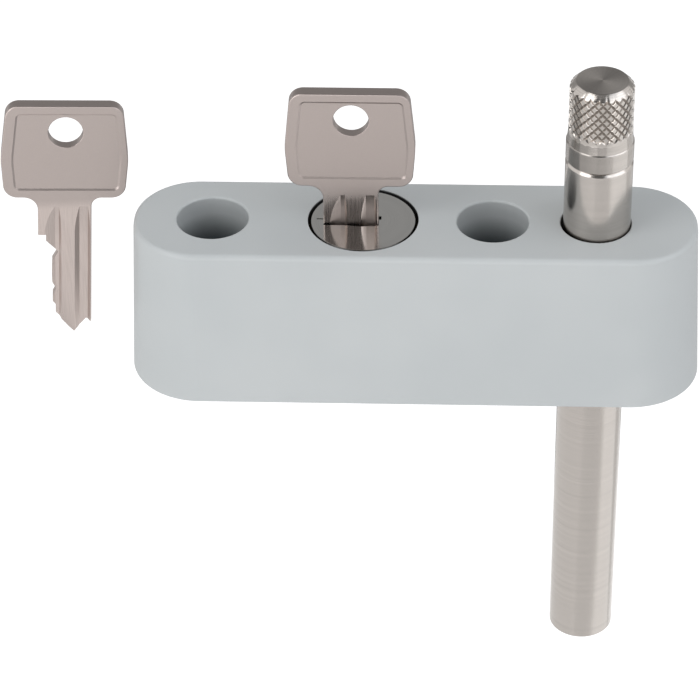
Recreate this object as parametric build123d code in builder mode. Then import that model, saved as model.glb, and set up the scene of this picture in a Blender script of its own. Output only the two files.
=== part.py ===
"""Key operated rod lock for a sliding patio door.

The housing lies with its mounting face on z = 0 and its length along X.
The locking rod slides along Z, through the housing and on through the door behind it.
The origin is the centre of the mounting face, and +Z points away from the door.
The model stands as photographed: rod pulled out, lock open, key in, spare key beside it.
Lengths are millimetres and angles are degrees.
"""
import os
from math import atan2, degrees, radians, sin

from build123d import *

# Housing
housing_length = 103.5  # at the mounting face
housing_width = 27.0  # at the mounting face
housing_height = 31.3
housing_end_flat = 1.2  # left flat at each end, between its two rounded corners
housing_lean = 1.5  # how far each side leans in from the base to the top
top_edge_radius = 0.95
top_edge_wall_share = 0.6  # most of the wall beside the cylinder that the top edge's rounding takes
bottom_edge_radius = 0.3
well_rim_radius = 0.4
bore_rim_radius = 0.25
housing_corner_radius = (housing_width - housing_end_flat) / 2

# Fixing holes, one each side of the lock cylinder
fixing_spacing = 50.0
fixing_centre_x = -11.15
fixing_hole_radius = 2.75
fixing_well_radius = 6.4
fixing_seat_height = 10.0  # where the screw head seats, above the mounting face
fixing_boss_radius = 4.2  # boss that the locking slide passes round
left_fixing_x = fixing_centre_x - fixing_spacing / 2
right_fixing_x = fixing_centre_x + fixing_spacing / 2

# Base plate, let into the mounting face
plate_thickness = 1.5
plate_rim = 3.4  # width of the housing's rim round the plate
plate_gap = 0.1
plate_screw_end_margin = 8.75  # from the end of the housing to the screw's middle
plate_screw_side_margin = 7.7
plate_screw_radius = 1.25
plate_screw_head_radius = 2.2
plate_screw_length = 6.5
screw_hole_gap = 0.1
countersink_angle = 90.0
screw_end_gap = 0.5
screw_slot_width = 0.7
screw_slot_depth = 0.4
plate_screw_x = housing_length / 2 - plate_screw_end_margin
plate_screw_y = housing_width / 2 - plate_screw_side_margin

# Locking slide, which runs on the base plate
slide_gap = 0.1  # running gap under the slide and beside it
slide_thickness = 2.5
slide_width = 14.0
slide_roof_gap = 0.3
slide_shoulder = 3.0  # length of full width beyond the boss slot
slide_nose_width = 8.0
slide_tail = 3.5  # length behind the pin slot
slide_end_gap = 0.5
slide_corner_radius = 1.0
boss_slot_gap = 0.3
slide_bottom = plate_thickness + slide_gap
slide_top = slide_bottom + slide_thickness
channel_roof = slide_top + slide_roof_gap

# Drive under the cylinder: a pin set off the axis pushes the slide through a quarter turn
cylinder_x = -9.25
quarter_turn = 90.0
pin_offset = 3.3
pin_radius = 1.0
pin_slot_gap = 0.2
pin_end_gap = 0.3
pin_wall = 1.0
pin_side = pin_offset * sin(radians(quarter_turn / 2))  # pin's place along X and Y
slide_travel = 2 * pin_side
cam_gap = 0.4
cam_thickness = 2.4
cam_radius = pin_offset + pin_radius + pin_wall
cam_bottom = slide_top + cam_gap
cam_top = cam_bottom + cam_thickness
cam_square = 3.6  # driving square on the end of the plug
cam_square_length = 1.2
cam_square_gap = 0.05
cam_square_turn = 45.0
cam_screw_radius = 1.0
cam_screw_head_radius = 1.7
cam_screw_length = 4.2
cam_chamber_gap = 1.3

# Lock cylinder: a fixed sleeve, and a turning plug under a wide polished disc
cylinder_bore_radius = 9.9
sleeve_fit = 0.03
sleeve_floor = 2.0
clip_room = 2.3  # height between the cam and the sleeve
plug_radius = 6.6
plug_fit = 0.05
plug_end_play = 0.1
tail_radius = 4.9
disc_gap = 0.52  # dark ring round the disc
disc_thickness = 2.1
disc_sink = 0.2  # below the housing's top face
disc_edge_radius = 0.2
top_wall = housing_width / 2 - housing_lean - cylinder_bore_radius
disc_radius = cylinder_bore_radius - disc_gap
sleeve_seat = cam_top + clip_room
disc_face = housing_height - disc_sink
disc_bottom = disc_face - disc_thickness
sleeve_top = disc_bottom - plug_end_play
barrel_end = sleeve_seat + sleeve_floor + plug_end_play
clip_thickness = 0.7
clip_groove_depth = 0.8
clip_radius = 6.0
clip_fit = 0.05
clip_mouth_angle = 50.0
sleeve_screw_margin = 1.4  # from the screw's middle to the bore
sleeve_screw_radius = 0.8
sleeve_screw_head_radius = 1.7
sleeve_screw_head_height = 1.6
sleeve_screw_head_sink = 0.1
sleeve_screw_reach = 5.5  # into the sleeve
sleeve_screw_turn = 45.0
sleeve_screw_circle_radius = cylinder_bore_radius - sleeve_screw_margin

# Key: the blade's middle is the key's own axis, and its shoulder stops on the disc
key_thickness = 2.4
key_side = 2.15  # how far the blade's middle lies to the left of the cylinder's axis
key_seat_gap = 0.02
blade_height = 9.75
key_tip_cover = 0.7  # plug metal between the clip's level and the key's tip
bow_width = 23.0
bow_top_width = 20.8
bow_bottom_width = 21.8
bow_bottom = 8.0  # above the shoulder
bow_widest = 16.0
bow_top = 27.2
bow_top_radius = 2.6
bow_side_radius = 14.0
bow_bottom_radius = 2.6
neck_left_radius = 2.6
neck_right_radius = 1.8
key_edge_radius = 0.2
panel_border = 1.55
panel_side = 0.35  # how far the panels lie to the right of the bow's middle
panel_depth = 0.2
panel_wall_lean = 0.35  # how far the panels' walls lean
ring_hole_radius = 3.12
ring_hole_side = 0.2
ring_hole_height = 21.7
ring_hole_rim_radius = 0.1
groove_depth = 0.6
groove_overrun = 0.3
groove_cutter_radius = 32.0
groove_cutter_arc = 20.0
groove_wall_lean = 0.43  # how far the grooves' steep walls lean
left_groove_edge = -0.62  # top of the steep wall, from the blade's middle
left_groove_floor = 0.72
left_groove_slope = 1.9
right_groove_edge = 4.64
right_groove_floor = 1.54
right_groove_slope = 0.87
key_seat = disc_face + key_seat_gap
blade_length = key_seat - sleeve_seat - key_tip_cover
# Cut edge of the blade from its shoulder to its tip, then back up to its spine.
# Each pair is a share of the blade's length and a share of its height above the spine.
bitting_shares = [
    (0.000, 0.852), (0.060, 0.852), (0.189, 0.622), (0.285, 0.738), (0.425, 0.746), (0.500, 0.738),
    (0.575, 0.662), (0.637, 0.733), (0.698, 0.733), (0.736, 0.677), (0.816, 0.677), (0.854, 0.600),
    (0.950, 0.430), (1.000, 0.330), (0.967, 0.256), (0.880, 0.100), (0.899, 0.015), (0.877, 0.000),
]

# Keyway in the plug
keyway_gap = 0.08
keyway_tip_gap = 0.3
keyway_mouth_gap = 0.42  # dark line between the disc and the key's front face
keyway_mouth_bulge = 0.4  # how much wider that line is at its widest
keyway_mouth_bulge_side = 1.7  # place of its widest, from the blade's middle
keyway_pocket_length = 0.5
keyway_pocket_width = 0.85
keyway_pocket_depth = 3.0
keyway_notch_share = 0.547  # of the disc's face left of the key's shoulder
keyway_notch_width = 0.45
keyway_notch_depth = 0.12

# Wafer tumblers, one above the other in the plug, each with its spring
wafer_count = 6
wafer_first_depth = 4.6  # middle of the top wafer, below the disc's face
wafer_last_rise = 2.7  # middle of the bottom wafer, above the barrel's end
wafer_thickness = 1.2
wafer_width = 4.6
wafer_gap = 0.05
wafer_end_gap = 0.1
window_gap = 0.15
lug_length = 1.4
lug_width = 1.4
spring_length = 2.6
spring_coil_radius = 0.38
spring_wire_radius = 0.11
spring_turns = 5
spring_room = 0.1
channel_depth = 1.2  # room for the wafers round the plug
channel_side_gap = 0.4
channel_top_margin = 1.5

# Locking rod, its knob and its guides
rod_x = 32.3
rod_radius = 6.0
rod_rise = 29.8  # above the housing's top face
rod_reach = 62.8  # below the mounting face
rod_travel = 25.0
rod_tip_chamfer = 0.5
rod_groove_radius = 4.5
rod_groove_gap = 0.35
nose_gap = 0.15
joint_drop = 16.0  # from the knob's top down to its joint with the rod
joint_chamfer = 0.43
spigot_radius = 2.5
spigot_length = 8.0
spigot_end_gap = 0.4
spigot_gap = 0.02
knob_collar_height = 4.1
knob_waist_radius = 5.68
knob_waist_slope = 1.7
knob_top_chamfer = 1.15
rod_mouth_radius = 6.3
rod_mouth_side = 0.15  # how far the mouth's middle lies to the left of the rod's axis
rod_mouth_depth = 2.0  # thickness of the housing over the upper bush
rod_fit = 0.05
bush_radius = 7.6
bush_chamfer = 0.3
friction_ring_height_share = 0.5  # its place between the two bushes
friction_ring_gap = 0.01
bush_end_gap = 0.1
rod_chamber_radius = 8.1
plate_rod_gap = 0.6
guide_width = 3.0
guide_height = 2.8
guide_depth = 1.25  # how far the guide key reaches into the rod
guide_length = 7.4
guide_fit = 0.05
guide_slot_gap = 0.1
guide_slot_extra_depth = 0.15
rod_top = housing_height + rod_rise
joint_height = rod_top - joint_drop

# Spare key, standing by itself to the left of the lock
spare_key_x = -64.4
spare_key_y = 9.7
spare_key_z = 21.0  # of its shoulder
spare_key_turns = (-2.5, 3.3, 6.5)

# One overrun for all cuts, and how near a corner must lie to its place to be picked
overrun = 1.0
pick_distance = 0.01

cylinder_axis = Axis((cylinder_x, 0, 0), (0, 0, 1))
rod_axis = Axis((rod_x, 0, 0), (0, 0, 1))
down = (0, 0, -1)


def add_countersunk_screw(radius, head_radius, length):
    """A slotted countersunk screw at each place: head flush at the bottom, point upwards."""
    head_height = head_radius - radius
    Cylinder(radius, length, align=(Align.CENTER, Align.CENTER, Align.MIN))
    Cone(head_radius, radius, head_height, align=(Align.CENTER, Align.CENTER, Align.MIN))
    Box(
        2 * head_radius, screw_slot_width, screw_slot_depth,
        align=(Align.CENTER, Align.CENTER, Align.MIN), mode=Mode.SUBTRACT,
    )


def add_groove_section(edge, floor, slope):
    """Section of one groove of the key: X across the blade, Y inwards from its front face."""
    past_face = groove_overrun / groove_depth
    foot = edge - groove_wall_lean
    Polygon(
        (edge + groove_wall_lean * past_face, -groove_overrun),
        (foot, groove_depth),
        (foot - floor, groove_depth),
        (foot - floor - slope * (1 + past_face), -groove_overrun),
        align=None,
    )


# Housing: one casting, tapered for the mould, with every bore and the slide's channel in it
sleeve_screw_head_bottom = channel_roof + sleeve_screw_head_sink
sleeve_screw_seat = sleeve_screw_head_bottom + sleeve_screw_head_height
slide_tail_x = cylinder_x - pin_side - pin_radius - pin_slot_gap - slide_tail
channel_start_x = slide_tail_x - slide_end_gap
channel_width = slide_width + 2 * slide_gap
guide_start_x = rod_x + rod_radius - guide_depth
guide_end_x = guide_start_x + guide_length
rod_mouth_x = rod_x - rod_mouth_side
with BuildPart() as housing:
    with BuildSketch():
        RectangleRounded(housing_length, housing_width, housing_corner_radius)
    extrude(amount=housing_height, taper=degrees(atan2(housing_lean, housing_height)))
    fillet(
        housing.faces().sort_by(Axis.Z)[-1].edges(),
        min(top_edge_radius, top_edge_wall_share * top_wall),
    )
    fillet(housing.faces().sort_by(Axis.Z)[0].edges(), bottom_edge_radius)
    # Recess for the base plate
    with BuildSketch():
        RectangleRounded(
            housing_length - 2 * plate_rim, housing_width - 2 * plate_rim,
            housing_corner_radius - plate_rim,
        )
    extrude(amount=plate_thickness, mode=Mode.SUBTRACT)
    # Channel of the slide, left whole round the fixing boss, and the chamber round the rod
    with BuildSketch(Plane.XY.offset(plate_thickness)):
        with Locations((channel_start_x, 0)):
            Rectangle(rod_x - channel_start_x, channel_width, align=(Align.MIN, Align.CENTER))
        with Locations((right_fixing_x, 0)):
            Circle(fixing_boss_radius, mode=Mode.SUBTRACT)
        with Locations((rod_x, 0)):
            Circle(rod_chamber_radius)
    extrude(amount=channel_roof - plate_thickness, mode=Mode.SUBTRACT)
    # Slot for the guide key
    with BuildSketch(Plane.XY.offset(plate_thickness)):
        with Locations((rod_x, 0)):
            Rectangle(
                guide_end_x + guide_fit - rod_x, guide_width + 2 * guide_fit,
                align=(Align.MIN, Align.CENTER),
            )
    extrude(amount=guide_height + guide_fit, mode=Mode.SUBTRACT)
    # Cam chamber, and the cylinder's bore above it
    with BuildSketch(Plane.XY.offset(plate_thickness)):
        with Locations((cylinder_x, 0)):
            Circle(cam_radius + cam_chamber_gap)
    extrude(amount=sleeve_seat - plate_thickness, mode=Mode.SUBTRACT)
    with BuildSketch(Plane.XY.offset(sleeve_seat)):
        with Locations((cylinder_x, 0)):
            Circle(cylinder_bore_radius)
    extrude(amount=housing_height - sleeve_seat, mode=Mode.SUBTRACT)
    # Bore for the rod's bushes, with the narrower mouth that shows on top
    with BuildSketch(Plane.XY.offset(channel_roof)):
        with Locations((rod_x, 0)):
            Circle(bush_radius)
    extrude(amount=housing_height - rod_mouth_depth - channel_roof, mode=Mode.SUBTRACT)
    with BuildSketch(Plane.XY.offset(housing_height)):
        with Locations((rod_mouth_x, 0)):
            Circle(rod_mouth_radius)
    extrude(amount=-(rod_mouth_depth + overrun), mode=Mode.SUBTRACT)
    # Fixing holes at the bottom of their deep wells
    with Locations((left_fixing_x, 0, housing_height), (right_fixing_x, 0, housing_height)):
        CounterBoreHole(
            fixing_hole_radius, fixing_well_radius, housing_height - fixing_seat_height,
            depth=housing_height,
        )
    # Tapped holes for the base plate's screws
    with BuildSketch(Plane.XY.offset(plate_thickness)):
        with GridLocations(2 * plate_screw_x, 2 * plate_screw_y, 2, 2):
            Circle(plate_screw_radius)
    extrude(amount=plate_screw_length + screw_end_gap - plate_thickness, mode=Mode.SUBTRACT)
    # Stepped holes for the cylinder's two screws
    with BuildSketch(Plane.XY.offset(plate_thickness)):
        with Locations((cylinder_x, 0)):
            with PolarLocations(sleeve_screw_circle_radius, 2, start_angle=sleeve_screw_turn):
                Circle(sleeve_screw_head_radius + screw_hole_gap)
    extrude(amount=sleeve_screw_seat - plate_thickness, mode=Mode.SUBTRACT)
    with BuildSketch(Plane.XY.offset(plate_thickness)):
        with Locations((cylinder_x, 0)):
            with PolarLocations(sleeve_screw_circle_radius, 2, start_angle=sleeve_screw_turn):
                Circle(sleeve_screw_radius + screw_hole_gap)
    extrude(amount=sleeve_seat - plate_thickness, mode=Mode.SUBTRACT)
    # Rims of the holes that show on top
    for mouth_x, rim_radius in (
        (left_fixing_x, well_rim_radius), (right_fixing_x, well_rim_radius),
        (rod_mouth_x, bore_rim_radius),
    ):
        mouths = housing.faces().sort_by(Axis.Z)[-1].inner_wires().edges()
        fillet(
            mouths.filter_by(lambda edge: abs(edge.arc_center.X - mouth_x) < pick_distance),
            rim_radius,
        )

# Base plate, which closes the mechanism
with BuildPart() as base_plate:
    with BuildSketch():
        RectangleRounded(
            housing_length - 2 * (plate_rim + plate_gap), housing_width - 2 * (plate_rim + plate_gap),
            housing_corner_radius - plate_rim - plate_gap,
        )
        with Locations((left_fixing_x, 0), (right_fixing_x, 0)):
            Circle(fixing_hole_radius, mode=Mode.SUBTRACT)
        with Locations((rod_x, 0)):
            Circle(rod_radius + plate_rod_gap, mode=Mode.SUBTRACT)
    extrude(amount=plate_thickness)
    with Locations(Plane((0, 0, 0), z_dir=down)):
        with GridLocations(2 * plate_screw_x, 2 * plate_screw_y, 2, 2):
            CounterSinkHole(
                plate_screw_radius + screw_hole_gap, plate_screw_head_radius + screw_hole_gap,
                counter_sink_angle=countersink_angle,
            )

# The plate's four screws
with BuildPart() as base_plate_screws:
    with GridLocations(2 * plate_screw_x, 2 * plate_screw_y, 2, 2):
        add_countersunk_screw(plate_screw_radius, plate_screw_head_radius, plate_screw_length)

# Locking slide: slotted for the drive pin and the fixing boss, with a nose that fits the rod
slide_nose_x = rod_x - slide_travel
boss_slot_height = 2 * (fixing_boss_radius + boss_slot_gap)
boss_slot_x = right_fixing_x - slide_travel / 2
slide_shoulder_x = boss_slot_x + (slide_travel + boss_slot_height) / 2 + slide_shoulder
with BuildPart() as locking_slide:
    with BuildSketch(Plane.XY.offset(slide_bottom)) as slide_outline:
        with Locations((slide_tail_x, 0)):
            Rectangle(slide_shoulder_x - slide_tail_x, slide_width, align=(Align.MIN, Align.CENTER))
        fillet(slide_outline.vertices(), slide_corner_radius)
        with Locations((slide_tail_x + slide_corner_radius, 0)):
            Rectangle(
                slide_nose_x - slide_tail_x - slide_corner_radius, slide_nose_width,
                align=(Align.MIN, Align.CENTER),
            )
        with Locations((slide_nose_x, 0)):
            Circle(rod_groove_radius + nose_gap, mode=Mode.SUBTRACT)
        with Locations((boss_slot_x, 0)):
            SlotCenterToCenter(slide_travel, boss_slot_height, mode=Mode.SUBTRACT)
        with Locations((cylinder_x - pin_side, (pin_side + pin_offset) / 2)):
            SlotCenterToCenter(
                pin_offset - pin_side + 2 * (pin_end_gap - pin_slot_gap),
                2 * (pin_radius + pin_slot_gap), rotation=quarter_turn, mode=Mode.SUBTRACT,
            )
    extrude(amount=slide_thickness)

# Drive cam, screwed to the square end of the plug
with BuildPart() as drive_cam:
    with BuildSketch(Plane.XY.offset(cam_bottom)):
        with Locations((cylinder_x, 0)):
            Circle(cam_radius)
            with Locations((-pin_side, pin_side)):
                Circle(pin_radius, mode=Mode.SUBTRACT)
    extrude(amount=cam_thickness)
    with BuildSketch(Plane.XY.offset(cam_top)):
        with Locations((cylinder_x, 0)):
            Rectangle(
                cam_square + 2 * cam_square_gap, cam_square + 2 * cam_square_gap,
                rotation=cam_square_turn,
            )
    extrude(amount=-(cam_square_length + cam_square_gap), mode=Mode.SUBTRACT)
    with Locations(Plane((cylinder_x, 0, cam_bottom), z_dir=down)):
        CounterSinkHole(
            cam_screw_radius + screw_hole_gap, cam_screw_head_radius + screw_hole_gap,
            counter_sink_angle=countersink_angle,
        )

# Drive pin, pressed into the cam
with BuildPart() as drive_pin:
    with BuildSketch(Plane.XY.offset(slide_bottom + pin_end_gap)):
        with Locations((cylinder_x - pin_side, pin_side)):
            Circle(pin_radius)
    extrude(amount=cam_top - slide_bottom - pin_end_gap)

with BuildPart() as cam_screw:
    with Locations((cylinder_x, 0, cam_bottom)):
        add_countersunk_screw(cam_screw_radius, cam_screw_head_radius, cam_screw_length)

# Cylinder sleeve: fixed tube with four channels, so that the wafers lock the plug each quarter turn
with BuildPart() as cylinder_sleeve:
    with BuildSketch(Plane.XY.offset(sleeve_seat)):
        with Locations((cylinder_x, 0)):
            Circle(cylinder_bore_radius - sleeve_fit)
            Circle(tail_radius + plug_fit, mode=Mode.SUBTRACT)
    extrude(amount=sleeve_top - sleeve_seat)
    with BuildSketch(Plane.XY.offset(sleeve_seat + sleeve_floor)):
        with Locations((cylinder_x, 0)):
            Circle(plug_radius + plug_fit)
    extrude(amount=sleeve_top - sleeve_seat - sleeve_floor, mode=Mode.SUBTRACT)
    with BuildSketch(Plane.XY.offset(sleeve_seat + sleeve_floor)):
        with Locations((cylinder_x, 0)):
            Rectangle(2 * (plug_radius + channel_depth), wafer_width + 2 * channel_side_gap)
            Rectangle(wafer_width + 2 * channel_side_gap, 2 * (plug_radius + channel_depth))
    extrude(
        amount=sleeve_top - channel_top_margin - sleeve_seat - sleeve_floor, mode=Mode.SUBTRACT
    )
    with BuildSketch(Plane.XY.offset(sleeve_seat)):
        with Locations((cylinder_x, 0)):
            with PolarLocations(sleeve_screw_circle_radius, 2, start_angle=sleeve_screw_turn):
                Circle(sleeve_screw_radius)
    extrude(amount=sleeve_screw_reach + screw_end_gap, mode=Mode.SUBTRACT)

# Two screws hold the sleeve down on its seat
with BuildPart() as cylinder_screws:
    with BuildSketch(Plane.XY.offset(sleeve_screw_head_bottom)):
        with Locations((cylinder_x, 0)):
            with PolarLocations(sleeve_screw_circle_radius, 2, start_angle=sleeve_screw_turn):
                Circle(sleeve_screw_head_radius)
                Rectangle(2 * sleeve_screw_head_radius, screw_slot_width, mode=Mode.SUBTRACT)
    extrude(amount=screw_slot_depth)
    with BuildSketch(Plane.XY.offset(sleeve_screw_head_bottom + screw_slot_depth)):
        with Locations((cylinder_x, 0)):
            with PolarLocations(sleeve_screw_circle_radius, 2, start_angle=sleeve_screw_turn):
                Circle(sleeve_screw_head_radius)
    extrude(amount=sleeve_screw_head_height - screw_slot_depth)
    with BuildSketch(Plane.XY.offset(sleeve_screw_seat)):
        with Locations((cylinder_x, 0)):
            with PolarLocations(sleeve_screw_circle_radius, 2, start_angle=sleeve_screw_turn):
                Circle(sleeve_screw_radius)
    extrude(amount=sleeve_seat + sleeve_screw_reach - sleeve_screw_seat)

# Plug: disc, barrel, tail with a groove for its clip, and the square that turns the cam
spine_x = cylinder_x - key_side + blade_height / 2
keyway_height = blade_height * max(height for along, height in bitting_shares[2:])
keyway_entry_height = blade_height * bitting_shares[0][1]
keyway_half = key_thickness / 2 + keyway_gap
keyway_mouth_front = -(key_thickness / 2 + keyway_mouth_gap)
grooves = (
    (left_groove_edge, left_groove_floor, left_groove_slope),
    (right_groove_edge, right_groove_floor, right_groove_slope),
)
clip_top = sleeve_seat - plug_end_play
clip_groove_radius = tail_radius - clip_groove_depth
wafer_first_height = disc_face - wafer_first_depth
wafer_last_height = barrel_end + wafer_last_rise
wafer_pitch = (wafer_first_height - wafer_last_height) / (wafer_count - 1)
wafer_heights = [wafer_first_height - index * wafer_pitch for index in range(wafer_count)]
lug_outer = wafer_width / 2 + lug_width
with BuildPart() as cylinder_plug:
    with BuildSketch(Plane.XZ):
        with BuildLine():
            Polyline(
                (cylinder_x, cam_top),
                (cylinder_x + tail_radius, cam_top),
                (cylinder_x + tail_radius, clip_top - clip_thickness - clip_fit),
                (cylinder_x + clip_groove_radius, clip_top - clip_thickness - clip_fit),
                (cylinder_x + clip_groove_radius, clip_top + clip_fit),
                (cylinder_x + tail_radius, clip_top + clip_fit),
                (cylinder_x + tail_radius, barrel_end),
                (cylinder_x + plug_radius, barrel_end),
                (cylinder_x + plug_radius, disc_bottom),
                (cylinder_x + disc_radius, disc_bottom),
                (cylinder_x + disc_radius, disc_face),
                (cylinder_x, disc_face),
                close=True,
            )
        make_face()
    revolve(axis=cylinder_axis)
    fillet(cylinder_plug.faces().sort_by(Axis.Z)[-1].edges(), disc_edge_radius)
    with BuildSketch(Plane.XY.offset(cam_top)):
        with Locations((cylinder_x, 0)):
            Rectangle(cam_square, cam_square, rotation=cam_square_turn)
    extrude(amount=-cam_square_length)
    with BuildSketch(Plane.XY.offset(cam_top - cam_square_length)):
        with Locations((cylinder_x, 0)):
            Circle(cam_screw_radius)
    extrude(
        amount=cam_bottom + cam_screw_length + screw_end_gap - cam_top + cam_square_length,
        mode=Mode.SUBTRACT,
    )
    # Keyway: as the blade's own section with the same two wards, and deeper at its narrow end
    with BuildSketch(Plane.XY.offset(barrel_end + keyway_tip_gap)):
        with Locations((spine_x + keyway_gap, 0)):
            Rectangle(
                keyway_height + 2 * keyway_gap, 2 * keyway_half, align=(Align.MAX, Align.CENTER)
            )
        for groove_shape in grooves:
            with BuildSketch(mode=Mode.PRIVATE) as ward:
                with Locations((cylinder_x - key_side, -key_thickness / 2)):
                    add_groove_section(*groove_shape)
                offset(amount=-keyway_gap, kind=Kind.INTERSECTION)
            add(ward.sketch, mode=Mode.SUBTRACT)
    extrude(amount=disc_face - barrel_end - keyway_tip_gap, mode=Mode.SUBTRACT)
    with BuildSketch(Plane.XY.offset(key_seat - blade_length - keyway_tip_gap)):
        with Locations((spine_x + keyway_gap, 0)):
            Rectangle(
                keyway_height / 2 + tail_radius / 2, 2 * keyway_half,
                align=(Align.MAX, Align.CENTER),
            )
    extrude(amount=barrel_end + blade_length + 2 * keyway_tip_gap - key_seat, mode=Mode.SUBTRACT)
    # Mouth of the keyway: room for the step under the shoulder and in front of the key,
    # a pocket and two shallow marks
    with BuildSketch(Plane.XY.offset(disc_face)):
        with Locations((spine_x, 0)):
            Rectangle(
                keyway_entry_height + keyway_gap, 2 * keyway_half, align=(Align.MAX, Align.CENTER)
            )
        with Locations((cylinder_x - key_side, 0)):
            Polygon(
                (blade_height / 2, -key_thickness / 2),
                (-blade_height / 2, -key_thickness / 2),
                (-blade_height / 2, keyway_mouth_front),
                (left_groove_edge, keyway_mouth_front),
                (keyway_mouth_bulge_side, keyway_mouth_front - keyway_mouth_bulge),
                (blade_height / 2, keyway_mouth_front),
                align=None,
            )
    extrude(
        amount=-(blade_length * bitting_shares[2][0] + keyway_gap), mode=Mode.SUBTRACT
    )
    with BuildSketch(Plane.XY.offset(disc_face)):
        with Locations((spine_x, keyway_half)):
            Rectangle(keyway_pocket_length, keyway_pocket_width, align=(Align.MIN, Align.MAX))
    extrude(amount=-keyway_pocket_depth, mode=Mode.SUBTRACT)
    with BuildSketch(Plane.XY.offset(disc_face)):
        with Locations((spine_x, keyway_half)):
            Rectangle(
                keyway_pocket_length, keyway_half - keyway_mouth_front,
                align=(Align.MIN, Align.MAX),
            )
        with Locations((spine_x - blade_height, 0)):
            Rectangle(
                keyway_notch_share * (disc_radius - key_side - blade_height / 2),
                keyway_notch_width, align=(Align.MAX, Align.MIN),
            )
    extrude(amount=-keyway_notch_depth, mode=Mode.SUBTRACT)
    # Slot for each wafer, with room at one side for its lug and spring
    for height in wafer_heights:
        with BuildSketch(Plane.XY.offset(height - wafer_thickness / 2 - wafer_gap)):
            with Locations((cylinder_x, 0)):
                Rectangle(2 * (plug_radius + overrun), wafer_width + 2 * wafer_gap)
            with Locations((cylinder_x + lug_length / 2 + wafer_gap, 0)):
                Rectangle(
                    lug_length + spring_length + spring_room + wafer_gap,
                    lug_outer + spring_room, align=(Align.MAX, Align.MIN),
                )
        extrude(amount=wafer_thickness + 2 * wafer_gap, mode=Mode.SUBTRACT)

# Clip that holds the plug in its sleeve, open at one side
clip_mouth = 2 * clip_groove_radius * sin(radians(clip_mouth_angle / 2))
with BuildPart() as plug_clip:
    with BuildSketch(Plane.XY.offset(clip_top - clip_thickness)):
        with Locations((cylinder_x, 0)):
            Circle(clip_radius)
            Circle(clip_groove_radius + clip_fit, mode=Mode.SUBTRACT)
            Rectangle(
                clip_radius + overrun, clip_mouth, align=(Align.MIN, Align.CENTER),
                mode=Mode.SUBTRACT,
            )
    extrude(amount=clip_thickness)

# Wafers: each window just lets by the highest part of the blade that passes it
wafers = []
wafer_springs = []
for height in wafer_heights:
    wafer_depth = (key_seat - height - wafer_thickness) / blade_length
    tallest_share = max(share for along, share in bitting_shares[2:] if along > wafer_depth)
    window_left_x = spine_x - blade_height * tallest_share - window_gap
    with BuildPart() as wafer:
        with BuildSketch(Plane.XY.offset(height - wafer_thickness / 2)):
            with Locations((cylinder_x, 0)):
                Circle(plug_radius - wafer_end_gap)
                Rectangle(2 * plug_radius, wafer_width, mode=Mode.INTERSECT)
                with Locations((0, wafer_width / 2)):
                    Rectangle(lug_length, lug_width, align=(Align.CENTER, Align.MIN))
            with Locations((window_left_x, 0)):
                Rectangle(
                    spine_x + window_gap - window_left_x, key_thickness + 2 * window_gap,
                    align=(Align.MIN, Align.CENTER), mode=Mode.SUBTRACT,
                )
        extrude(amount=wafer_thickness)
    wafers.append(wafer)

    coil_length = spring_length - 2 * spring_wire_radius
    coil_start_x = cylinder_x - lug_length / 2 - spring_length + spring_wire_radius
    with BuildPart() as wafer_spring:
        with BuildLine() as coil:
            Helix(
                coil_length / spring_turns, coil_length, spring_coil_radius,
                center=(coil_start_x, (wafer_width + lug_width) / 2, height),
                direction=(1, 0, 0),
            )
        with BuildSketch(Plane(coil.line @ 0, z_dir=coil.line % 0)):
            Circle(spring_wire_radius)
        sweep(is_frenet=True)
    wafer_springs.append(wafer_spring)

# Key, in its own frame: X across the blade, Z up from the shoulder, faces towards Y
blade_spine = blade_height / 2
with BuildSketch() as bow:
    Polygon(
        (-bow_bottom_width / 2, bow_bottom),
        (-bow_width / 2, bow_widest),
        (-bow_top_width / 2, bow_top),
        (bow_top_width / 2, bow_top),
        (bow_width / 2, bow_widest),
        (bow_bottom_width / 2, bow_bottom),
        align=None,
    )
    fillet(bow.vertices().group_by(Axis.Y)[0], bow_bottom_radius)
    fillet(bow.vertices().group_by(Axis.Y)[-1], bow_top_radius)
    fillet(bow.vertices().group_by(Axis.X)[0], bow_side_radius)
    fillet(bow.vertices().group_by(Axis.X)[-1], bow_side_radius)

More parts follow.
